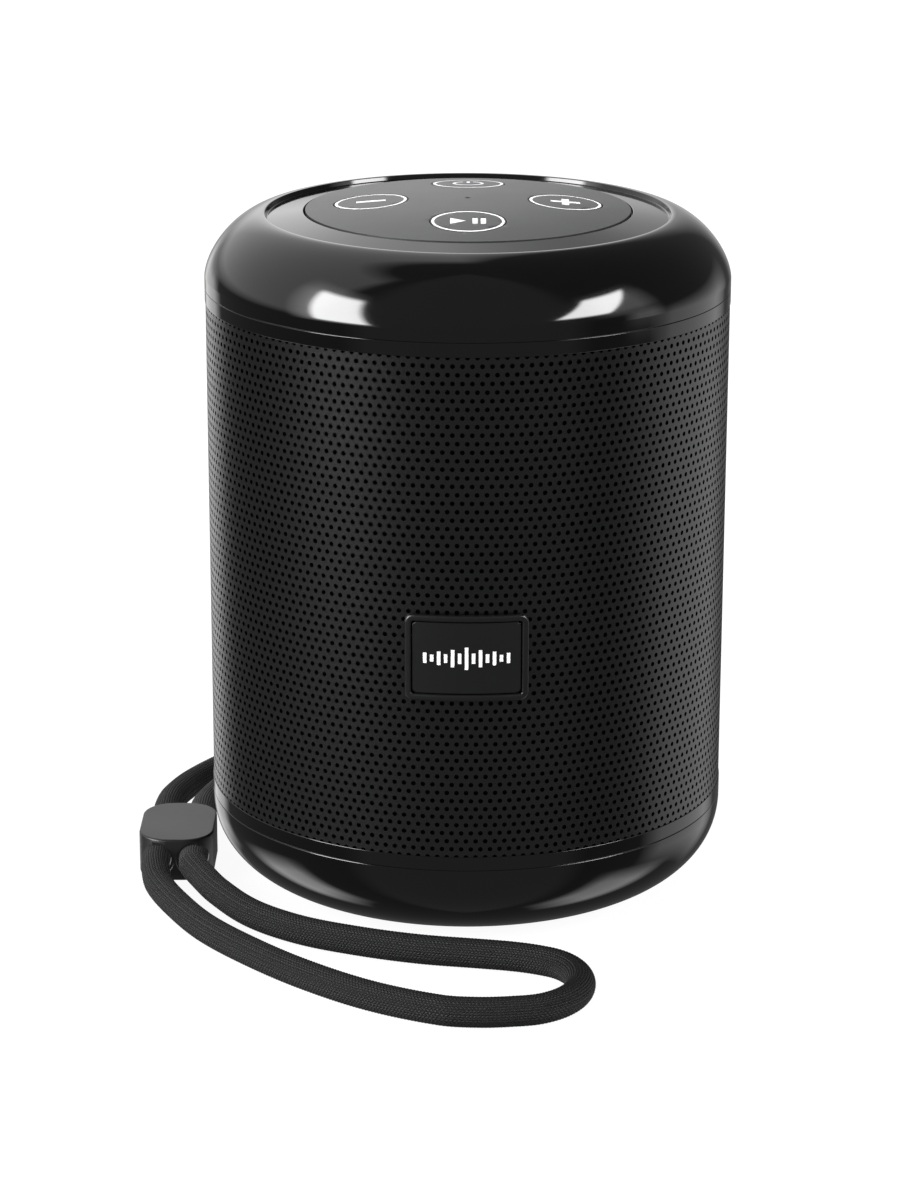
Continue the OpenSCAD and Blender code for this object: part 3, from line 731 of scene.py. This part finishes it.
def makeBaseShell(size):
    side = bodyRadius / mm
    across, drop = size["bend"]
    inner, outer, depth = size["pad"]
    low = size["lift"]
    outline = [(0, low), (inner, low), (inner, depth), (outer, depth), (outer, low), (size["flat"], low)]
    outline += curve((size["flat"], size["bendHeight"]), (across, drop), -86, 0, 44, size["power"])
    outline += [(side, size["top"]), (side - size["wall"], size["top"])]
    inside = (across - size["wall"], size["bendHeight"] - size["floor"])
    outline += curve((size["flat"], size["bendHeight"]), inside, 0, -90, 16, 1)
    outline += [(0, size["floor"])]
    bm = turned(outline)
    roundEdges(bm, size["round"], limit=50)
    piece = addPiece("baseShellSkin", bm, "gloss_black")
    turn = size["portTurn"]
    anchor = size["anchor"]
    near, far, high = anchor["from"], anchor["to"], anchor["height"]
    steps = [("UNION", box(*block, turn)) for block in size["pocketBack"]]
    steps += [("DIFFERENCE", box(*size["pocket"], turn)), ("DIFFERENCE", box(*size["socket"], turn))]
    for middle in (-anchor["spread"], anchor["spread"]):
        steps.append(("DIFFERENCE", rod(anchor["half"], (middle, near, high), (middle, far, high))))
    lowCorner = (-anchor["spread"], near, high - anchor["half"])
    highCorner = (anchor["spread"], far, high + anchor["half"])
    steps.append(("DIFFERENCE", box(lowCorner, highCorner)))
    reshape(piece, steps)
    smoothCut(piece, 45)
    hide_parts("base_shell")


seamRings = {
    "names": {"lower_seam_ring": "lowerSeamRing", "upper_seam_ring": "upperSeamRing"},
    "round": 0.1,
}


def makeSeamRings(size):
    for node, name in size["names"].items():
        low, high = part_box(node)
        inner = min(vert.co.xy.length for vert in nodes[node].data.vertices)
        outline = [(high.x, low.z), (high.x, high.z), (inner, high.z), (inner, low.z)]
        bm = turned([(reach / mm, height / mm) for reach, height in outline])
        roundEdges(bm, size["round"])
        markSharp(bm, 50)
        piece = addPiece(name, bm, "gloss_black")
        tidyShading(piece)
        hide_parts(node)


makeTopShell(topShell)
makeBaseShell(baseShell)
makeSeamRings(seamRings)
print("shells made")


softPieces = {
    "control_disc": ("controlDisc", "speaker", 0.12),
    "volume_down_key": ("volumeDownKey", "volume_down", 0.08),
    "volume_up_key": ("volumeUpKey", "volume_up", 0.08),
    "play_key": ("playKey", "play", 0.08),
    "power_key": ("powerKey", "power", 0.08),
    "port_cover": ("portCover", "cover", 0.15),
    "lanyard_anchor": ("lanyardAnchor", "speaker", 0.25),
    "foot_pad": ("footPad", "speaker", 0.3),
}

for node, (name, body, rounding) in softPieces.items():
    softCopy(node, name, body, rounding)

# the spider rides no body; its placement is baked into its mesh
spider = softCopy("cone_spider", "coneSpider", None)
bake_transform(spider)
print("soft copies made:", len(softPieces) + 1)


toggleSize = {
    "corner": 5,
    "edge": 0.35,
    "strandGap": 3,
    "bore": 4.8,
    "mouth": 0.45,  # extra radius where a strand goes in
    "mouthDepth": 0.7,
}


def makeToggle(size):
    low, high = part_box("lanyard_toggle")
    middle = (low + high) / 2
    bm = roundedSheet(high.x - low.x, high.y - low.y, size["corner"] * mm, 14)
    thicken(bm, high.z - low.z)
    bmesh.ops.translate(bm, verts=bm.verts, vec=(middle.x, middle.y, low.z))
    bmesh.ops.recalc_face_normals(bm, faces=bm.faces)
    roundEdges(bm, size["edge"], 60)
    piece = addPiece("strandToggle", bm, "toggle_plastic", "toggle")
    front, back = low.y / mm, high.y / mm
    past = 1  # how far each cutter goes past the toggle's ends
    bore = size["bore"] / 2
    deep = size["mouthDepth"]
    steps = []
    for spot in (-size["strandGap"], size["strandGap"]):
        x, z = middle.x / mm + spot, middle.z / mm
        cuts = [(bore, front - past, back + past), (bore + size["mouth"], front - past, front + deep),
                (bore + size["mouth"], back - deep, back + past)]
        for radius, start, end in cuts:
            steps.append(("DIFFERENCE", rod(radius, (x, start, z), (x, end, z))))
    reshape(piece, steps)
    smoothCut(piece, 40)
    piece.visible_glossy = False  # left out of the base's gloss, as the cord is
    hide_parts("lanyard_toggle")
    return piece


badgeSize = {
    "border": 1,
    "frameCorner": 1.3,
    "frameThick": 1,
    "frameRound": 0.28,
    "plateCorner": 0.8,
    "plateThick": 0.67,
    "plateRound": 0.08,
    "inlayStand": 0.03,  # the inlaid bars stand this far over the plate
    "groove": 0.14,  # between frame and plate
}


def bentPlate(name, node, corner, thick, rounding, border=None, sink=0, gap=0):
    # a rounded plate, or a border round an opening, bent round the grille
    low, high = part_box(node)
    outer = -low.y - sink * mm
    bm = roundedSheet(high.x - low.x - gap * mm, high.z - low.z - gap * mm, corner * mm, 8)
    if border:
        opening = bm.faces[:]
        bmesh.ops.inset_region(bm, faces=opening, thickness=border * mm, use_even_offset=True,
                               use_boundary=True)
        bmesh.ops.delete(bm, geom=opening, context="FACES")
    thicken(bm, -thick * mm)
    bmesh.ops.recalc_face_normals(bm, faces=bm.faces)
    roundEdges(bm, rounding, 60)
    steps = 24
    for step in range(1, steps):
        spot = low.x + (high.x - low.x) * step / steps
        bmesh.ops.bisect_plane(bm, geom=bm.verts[:] + bm.edges[:] + bm.faces[:], plane_co=(spot, 0, 0),
                               plane_no=(1, 0, 0), dist=1e-7)
    middle = (low.z + high.z) / 2
    for vert in bm.verts:
        x, y, z = vert.co
        vert.co = Vector((x, -math.sqrt(outer ** 2 - x ** 2) - z, y + middle))
    bmesh.ops.recalc_face_normals(bm, faces=bm.faces)
    markSharp(bm, 40)
    piece = addPiece(name, bm, "badge_plastic")
    tidyShading(piece)
    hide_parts(node)


strandToggle = makeToggle(toggleSize)
bentPlate("badgeFrame", "badge_frame", badgeSize["frameCorner"], badgeSize["frameThick"],
          badgeSize["frameRound"], border=badgeSize["border"])
bentPlate("badgePlate", "badge_plate", badgeSize["plateCorner"], badgeSize["plateThick"],
          badgeSize["plateRound"], sink=badgeSize["inlayStand"], gap=2 * badgeSize["groove"])
print("toggle and badge made")

cordLength = makeCord(braidSize)
print("cord made:", round(cordLength, 3), "m")


grilleSheet = {
    "around": 176,  # holes round one row
    "rows": 61,
    "hole": 0.76,  # diameter
    "thick": 0.8,
    "panels": 4,
    "corners": 8,
}


def makeGrille(sheet):
    outer = grilleHigh.x
    inner = outer - sheet["thick"] * mm
    rows = sheet["rows"]
    height = (grilleHigh.z - grilleLow.z) / (rows - 1)
    width = 2 * math.pi * outer / sheet["around"]
    bottom = grilleLow.z - height / 2
    hole = sheet["hole"] / 2 * mm
    perPanel = sheet["around"] // sheet["panels"]
    for panel in range(sheet["panels"]):
        bm = bmesh.new()
        addTile(bm, width, height, hole, sheet["corners"])
        bmesh.ops.translate(bm, verts=bm.verts, vec=(0, 0, bottom + height / 2))
        copyAll(bm, [(width / 2 * (row % 2), 0, height * row) for row in range(1, rows)])
        copyAll(bm, [(width * step, 0, 0) for step in range(1, perPanel)])
        bmesh.ops.remove_doubles(bm, verts=bm.verts, dist=1e-6)
        bmesh.ops.recalc_face_normals(bm, faces=bm.faces)
        bmesh.ops.solidify(bm, geom=bm.faces[:], thickness=sheet["thick"] * mm)
        start = panel * 2 * math.pi / sheet["panels"]
        for vert in bm.verts:
            angle = start + vert.co.x / outer
            reach = outer if abs(vert.co.y) < 1e-6 else inner
            vert.co = Vector((math.sin(angle) * reach, -math.cos(angle) * reach, vert.co.z))
        bmesh.ops.recalc_face_normals(bm, faces=bm.faces)
        piece = addPiece(f"grillePanel{panel + 1}", bm, "grille_metal", smooth=False)
        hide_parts("grille")
    return len(piece.data.polygons)


def addTile(bm, width, height, hole, corners):
    # one hole in a rectangle of sheet, standing on XZ
    rim = bmesh.ops.create_circle(bm, segments=corners, radius=hole)["verts"]
    edge = bmesh.ops.create_circle(bm, segments=corners, radius=1)["verts"]
    half = (width / 2, height / 2)
    for vert in edge:
        reach = max(abs(vert.co.x), abs(vert.co.y))
        vert.co.x = round(vert.co.x / reach) * half[0]
        vert.co.y = round(vert.co.y / reach) * half[1]
    loops = [e for e in bm.edges if e.verts[0] in rim or e.verts[0] in edge]
    bmesh.ops.bridge_loops(bm, edges=loops)
    bmesh.ops.rotate(bm, verts=bm.verts, matrix=Matrix.Rotation(math.pi / 2, 3, "X"))


def copyAll(bm, shifts):
    # one copy of all that is there for each shift
    whole = bm.faces[:] + bm.verts[:] + bm.edges[:]
    for shift in shifts:
        copied = bmesh.ops.duplicate(bm, geom=whole)
        fresh = [item for item in copied["geom"] if isinstance(item, bmesh.types.BMVert)]
        bmesh.ops.translate(bm, verts=fresh, vec=shift)


print("grille made:", makeGrille(grilleSheet), "faces in the last panel")


floorSetup = {
    "size": 6.0,
    "shade": 0.12,
    "glow": 0.93,
}

baseLight = 0.11

# soft panels of light round the object; azimuth from the front towards +X, elevation and sizes in degrees
studioPanels = {
    "frontFill": {"middle": (0, 20), "half": (50, 110), "edge": 12, "power": 0.13},
    "leftWindow": {"middle": (-61, 21), "half": (13, 19), "edge": 4, "power": 19, "slant": -0.3},
    "leftWindowGlow": {"middle": (-66, 20), "half": (17, 23), "edge": 12, "power": 2.2, "slant": -0.3},
    "rightWindow": {"middle": (62, 28), "half": (13, 11), "edge": 3, "power": 19, "slant": 0.9},
    "rightWindowGlow": {"middle": (74, 26), "half": (14, 13), "edge": 12, "power": 1.3},
    "rightLow": {"middle": (82, 0), "half": (8, 10), "edge": 8, "power": 1.2},
    "leftWall": {"middle": (-125, 36), "half": (58, 31), "edge": 9, "power": 0.95},
    "backGlow": {"middle": (180, 8), "half": (16, 18), "edge": 14, "power": 0.55},
    "rightSide": {"middle": (118, -14), "half": (26, 16), "edge": 14, "power": 0.9},
    "leftSide": {"middle": (-152, -14), "half": (12, 14), "edge": 8, "power": 1.2},
    "underLeft": {"middle": (-106, -48), "half": (17, 14), "edge": 14, "power": 2.4},
    "underRight": {"middle": (92, -54), "half": (20, 15), "edge": 14, "power": 1.9},
}


def makeFloor(setup):
    bm = bmesh.new()
    bmesh.ops.create_grid(bm, x_segments=1, y_segments=1, size=setup["size"] / 2)
    mesh = bpy.data.meshes.new("floor")
    bm.to_mesh(mesh)
    bm.free()
    floor = bpy.data.objects.new("floor", mesh)
    bpy.context.scene.collection.objects.link(floor)
    paint = Finish("floorPaint", color=(setup["shade"],) * 3, roughness=0.9, specular=0.1,
                   emission=(1, 1, 1), glow=setup["glow"])
    mesh.materials.append(paint.material)
    # only the camera sees the floor
    floor.visible_glossy = False
    floor.visible_diffuse = False
    floor.visible_shadow = False


def makeStudio(panels, light):
    world = bpy.data.worlds.new("studio")
    bpy.context.scene.world = world
    sky = Finish("studio", owner=world, tint=(1, 1, 1))
    x, y, z = sky.split(sky.node("ShaderNodeTexCoord", out=0))[:3]
    toDegrees = 180 / math.pi
    azimuth = x.sum("ARCTAN2", x, y * -1) * toDegrees
    elevation = z.sum("ARCSINE", z) * toDegrees
    for panel in panels.values():
        offAzimuth = azimuth - panel["middle"][0] - (elevation - panel["middle"][1]) * panel.get("slant", 0)
        wrapped = ((offAzimuth + 180) / 360).fraction() * 360 - 180
        wide = ((panel["half"][0] - wrapped.size()) / panel["edge"] + 0.5).held()
        high = ((panel["half"][1] - (elevation - panel["middle"][1]).size()) / panel["edge"] + 0.5).held()
        light = light + wide * high * panel["power"]
    seen = sky.node("ShaderNodeLightPath", out=0)
    sky.set("strength", light * (1 - seen) + seen)


makeFloor(floorSetup)
makeStudio(studioPanels, baseLight)
print("stage made")

bpy.context.scene.view_settings.view_transform = "Standard"
